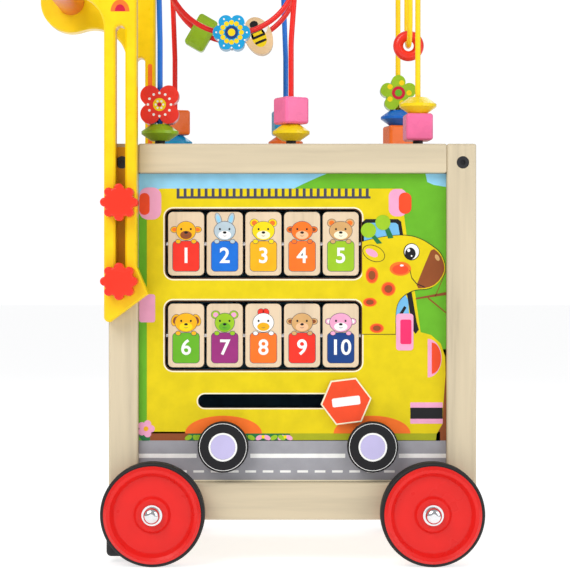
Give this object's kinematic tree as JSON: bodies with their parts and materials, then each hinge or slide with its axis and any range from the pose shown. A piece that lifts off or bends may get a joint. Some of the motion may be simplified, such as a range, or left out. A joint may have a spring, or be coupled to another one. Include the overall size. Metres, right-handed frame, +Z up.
{
  "type": "baby walker",
  "caption": "Wooden push walker: a box frame on rubber-tyred wheels with number tiles, a sliding sign, a bead maze on top and a height-adjustable push handle.",
  "frame": {"origin": "on the floor, under the middle of the whole walker", "axes": "+X towards the front, away from the push bar; -Y towards the number tiles; +Z up"},
  "size_m": [0.3856, 0.2736, 0.5915],
  "materials": {
    "birch_wood": "clear satin lacquer over pale birch",
    "printed_panel": "printed picture under satin lacquer",
    "plain_panel": "satin paint",
    "tile_wood": "printed, satin lacquer",
    "yellow_paint": "gloss paint",
    "orange_paint": "gloss paint",
    "red_plastic": "gloss",
    "tyre_rubber": "matt rubber",
    "black_rubber": "matt",
    "chrome": "polished",
    "black_steel": "black oxide",
    "steel": "drawn wire",
    "blue_enamel": "gloss enamel",
    "red_enamel": "gloss enamel",
    "yellow_enamel": "gloss enamel",
    "black_plastic": "matt",
    "lavender_plastic": "satin",
    "black_paint": "satin paint",
    "red_paint": "gloss paint",
    "green_paint": "gloss paint",
    "yellow_bead_paint": "gloss paint",
    "pink_paint": "gloss paint",
    "blue_paint": "gloss paint",
    "mixed_bead_paint": "gloss paint, several colours"
  },
  "bodies": {
    "walker_frame": {"frame_posts": "birch_wood", "top_rails": "birch_wood", "bottom_rails": "birch_wood", "activity_panel": "printed_panel", "far_panel": "plain_panel", "end_panels": "plain_panel", "top_board": "birch_wood", "bottom_board": "birch_wood", "frame_bolts": "black_steel", "rear_feet": "black_rubber", "axles": "steel", "axle_fasteners": "chrome", "tile_rods": "steel", "small_wheel_pins": "lavender_plastic", "knob_bolts": "steel", "wire_ferrules": "black_plastic", "blue_wire": "blue_enamel", "red_wire": "red_enamel", "yellow_wire": "yellow_enamel"},
    "rear_near_road_wheel": {"rear_near_wheel": "red_plastic", "rear_near_tyre": "tyre_rubber"},
    "front_near_road_wheel": {"front_near_wheel": "red_plastic", "front_near_tyre": "tyre_rubber"},
    "rear_far_road_wheel": {"rear_far_wheel": "red_plastic", "rear_far_tyre": "tyre_rubber"},
    "front_far_road_wheel": {"front_far_wheel": "red_plastic", "front_far_tyre": "tyre_rubber"},
    "push_handle": {"handle_board_near": "yellow_paint", "handle_board_far": "yellow_paint", "push_bar": "orange_paint"},
    "lower_near_clamp": {"lower_near_knob": "red_plastic"},
    "upper_near_clamp": {"upper_near_knob": "red_plastic"},
    "lower_far_clamp": {"lower_far_knob": "red_plastic"},
    "upper_far_clamp": {"upper_far_knob": "red_plastic"},
    "tile_01": {"number_tile_01": "tile_wood"},
    "tile_02": {"number_tile_02": "tile_wood"},
    "tile_03": {"number_tile_03": "tile_wood"},
    "tile_04": {"number_tile_04": "tile_wood"},
    "tile_05": {"number_tile_05": "tile_wood"},
    "tile_06": {"number_tile_06": "tile_wood"},
    "tile_07": {"number_tile_07": "tile_wood"},
    "tile_08": {"number_tile_08": "tile_wood"},
    "tile_09": {"number_tile_09": "tile_wood"},
    "tile_10": {"number_tile_10": "tile_wood"},
    "sign_slider": {"sign_carrier": "black_plastic"},
    "sign_plate": {"turning_sign": "red_paint"},
    "rear_picture_wheel": {"rear_small_wheel": "black_paint"},
    "front_picture_wheel": {"front_small_wheel": "black_paint"},
    "green_disc_bead": {"green_disc": "green_paint"},
    "red_flower_bead": {"red_flower": "red_paint"},
    "red_wire_far_stack": {"red_wire_far_beads": "mixed_bead_paint"},
    "yellow_disc_bead": {"yellow_disc": "yellow_bead_paint"},
    "pink_cube_bead": {"pink_cube": "pink_paint"},
    "blue_wire_far_stack": {"blue_wire_far_beads": "mixed_bead_paint"},
    "front_cube_bead": {"front_pink_cube": "pink_paint"},
    "front_disc_bead": {"front_yellow_disc": "yellow_bead_paint"},
    "yellow_wire_far_stack": {"yellow_wire_far_beads": "mixed_bead_paint"},
    "blue_flower_bead": {"blue_flower": "blue_paint"},
    "coil_far_stack": {"coil_far_beads": "mixed_bead_paint"},
    "red_ring_bead": {"red_ring": "red_paint"}
  },
  "joints": [
    {"name": "rear_near_wheel_spin", "type": "hinge", "parent": "walker_frame", "child": "rear_near_road_wheel", "pos_m": [-0.07455, -0.117, 0.042], "axis": [0, 1, 0], "continuous": true},
    {"name": "front_near_wheel_spin", "type": "hinge", "parent": "walker_frame", "child": "front_near_road_wheel", "pos_m": [0.15085, -0.117, 0.042], "axis": [0, 1, 0], "continuous": true},
    {"name": "rear_far_wheel_spin", "type": "hinge", "parent": "walker_frame", "child": "rear_far_road_wheel", "pos_m": [-0.07455, 0.117, 0.042], "axis": [0, 1, 0], "continuous": true},
    {"name": "front_far_wheel_spin", "type": "hinge", "parent": "walker_frame", "child": "front_far_road_wheel", "pos_m": [0.15085, 0.117, 0.042], "axis": [0, 1, 0], "continuous": true},
    {"name": "handle_height", "type": "slide", "parent": "walker_frame", "child": "push_handle", "axis": [0, 0, 1], "range_m": [-0.105, 0]},
    {"name": "lower_near_knob_turn", "type": "hinge", "parent": "walker_frame", "child": "lower_near_clamp", "pos_m": [-0.10075, -0.126, 0.2295], "axis": [0, 1, 0], "range_deg": [-90, 270]},
    {"name": "upper_near_knob_turn", "type": "hinge", "parent": "walker_frame", "child": "upper_near_clamp", "pos_m": [-0.10075, -0.126, 0.2928], "axis": [0, 1, 0], "range_deg": [-90, 270]},
    {"name": "lower_far_knob_turn", "type": "hinge", "parent": "walker_frame", "child": "lower_far_clamp", "pos_m": [-0.10075, 0.126, 0.2295], "axis": [0, 1, 0], "range_deg": [-90, 270]},
    {"name": "upper_far_knob_turn", "type": "hinge", "parent": "walker_frame", "child": "upper_far_clamp", "pos_m": [-0.10075, 0.126, 0.2928], "axis": [0, 1, 0], "range_deg": [-90, 270]},
    {"name": "tile_01_flip", "type": "hinge", "parent": "walker_frame", "child": "tile_01", "pos_m": [-0.04905, -0.088, 0.2604], "axis": [1, 0, 0], "continuous": true},
    {"name": "tile_02_flip", "type": "hinge", "parent": "walker_frame", "child": "tile_02", "pos_m": [-0.01735, -0.088, 0.2604], "axis": [1, 0, 0], "continuous": true},
    {"name": "tile_03_flip", "type": "hinge", "parent": "walker_frame", "child": "tile_03", "pos_m": [0.01435, -0.088, 0.2604], "axis": [1, 0, 0], "continuous": true},
    {"name": "tile_04_flip", "type": "hinge", "parent": "walker_frame", "child": "tile_04", "pos_m": [0.04605, -0.088, 0.2604], "axis": [1, 0, 0], "continuous": true},
    {"name": "tile_05_flip", "type": "hinge", "parent": "walker_frame", "child": "tile_05", "pos_m": [0.07775, -0.088, 0.2604], "axis": [1, 0, 0], "continuous": true},
    {"name": "tile_06_flip", "type": "hinge", "parent": "walker_frame", "child": "tile_06", "pos_m": [-0.04905, -0.088, 0.1852], "axis": [1, 0, 0], "continuous": true},
    {"name": "tile_07_flip", "type": "hinge", "parent": "walker_frame", "child": "tile_07", "pos_m": [-0.01735, -0.088, 0.1852], "axis": [1, 0, 0], "continuous": true},
    {"name": "tile_08_flip", "type": "hinge", "parent": "walker_frame", "child": "tile_08", "pos_m": [0.01435, -0.088, 0.1852], "axis": [1, 0, 0], "continuous": true},
    {"name": "tile_09_flip", "type": "hinge", "parent": "walker_frame", "child": "tile_09", "pos_m": [0.04605, -0.088, 0.1852], "axis": [1, 0, 0], "continuous": true},
    {"name": "tile_10_flip", "type": "hinge", "parent": "walker_frame", "child": "tile_10", "pos_m": [0.07775, -0.088, 0.1852], "axis": [1, 0, 0], "continuous": true},
    {"name": "sign_slide", "type": "slide", "parent": "walker_frame", "child": "sign_slider", "axis": [1, 0, 0], "range_m": [-0.1151, 0]},
    {"name": "sign_turn", "type": "hinge", "parent": "sign_slider", "child": "sign_plate", "pos_m": [0.082, -0.095, 0.1315], "axis": [0, 1, 0], "continuous": true},
    {"name": "rear_picture_wheel_spin", "type": "hinge", "parent": "walker_frame", "child": "rear_picture_wheel", "pos_m": [-0.01835, -0.102, 0.0949], "axis": [0, 1, 0], "continuous": true},
    {"name": "front_picture_wheel_spin", "type": "hinge", "parent": "walker_frame", "child": "front_picture_wheel", "pos_m": [0.10335, -0.102, 0.0949], "axis": [0, 1, 0], "continuous": true},
    {"name": "green_disc_slide", "type": "slide", "parent": "walker_frame", "child": "green_disc_bead", "axis": [0, 0, 1], "range_m": [0, 0.035]},
    {"name": "red_flower_slide", "type": "slide", "parent": "green_disc_bead", "child": "red_flower_bead", "axis": [0, 0, 1], "range_m": [0, 0.03]},
    {"name": "red_wire_far_stack_slide", "type": "slide", "parent": "walker_frame", "child": "red_wire_far_stack", "axis": [0, 0, 1], "range_m": [0, 0.04]},
    {"name": "yellow_disc_slide", "type": "slide", "parent": "walker_frame", "child": "yellow_disc_bead", "axis": [0, 0, 1], "range_m": [0, 0.03]},
    {"name": "pink_cube_slide", "type": "slide", "parent": "yellow_disc_bead", "child": "pink_cube_bead", "axis": [0, 0, 1], "range_m": [0, 0.02]},
    {"name": "blue_wire_far_stack_slide", "type": "slide", "parent": "walker_frame", "child": "blue_wire_far_stack", "axis": [0, 0, 1], "range_m": [0, 0.04]},
    {"name": "front_cube_slide", "type": "slide", "parent": "walker_frame", "child": "front_cube_bead", "axis": [0, 0, 1], "range_m": [0, 0.08]},
    {"name": "front_disc_slide", "type": "slide", "parent": "front_cube_bead", "child": "front_disc_bead", "axis": [0, 0, 1], "range_m": [0, 0.06]},
    {"name": "yellow_wire_far_stack_slide", "type": "slide", "parent": "walker_frame", "child": "yellow_wire_far_stack", "axis": [0, 0, 1], "range_m": [0, 0.12]},
    {"name": "blue_flower_travel", "type": "hinge", "parent": "walker_frame", "child": "blue_flower_bead", "pos_m": [-0.01335, -0.028, 0.4976], "axis": [0, 1, 0], "range_deg": [-50, 50]},
    {"name": "coil_far_stack_travel", "type": "hinge", "parent": "walker_frame", "child": "coil_far_stack", "pos_m": [-0.01335, 0.028, 0.4976], "axis": [0, 1, 0], "range_deg": [-35, 30]},
    {"name": "red_ring_spin", "type": "hinge", "parent": "walker_frame", "child": "red_ring_bead", "pos_m": [0.13915, 0, 0.434], "axis": [0, 1, 0], "continuous": true}
  ]
}
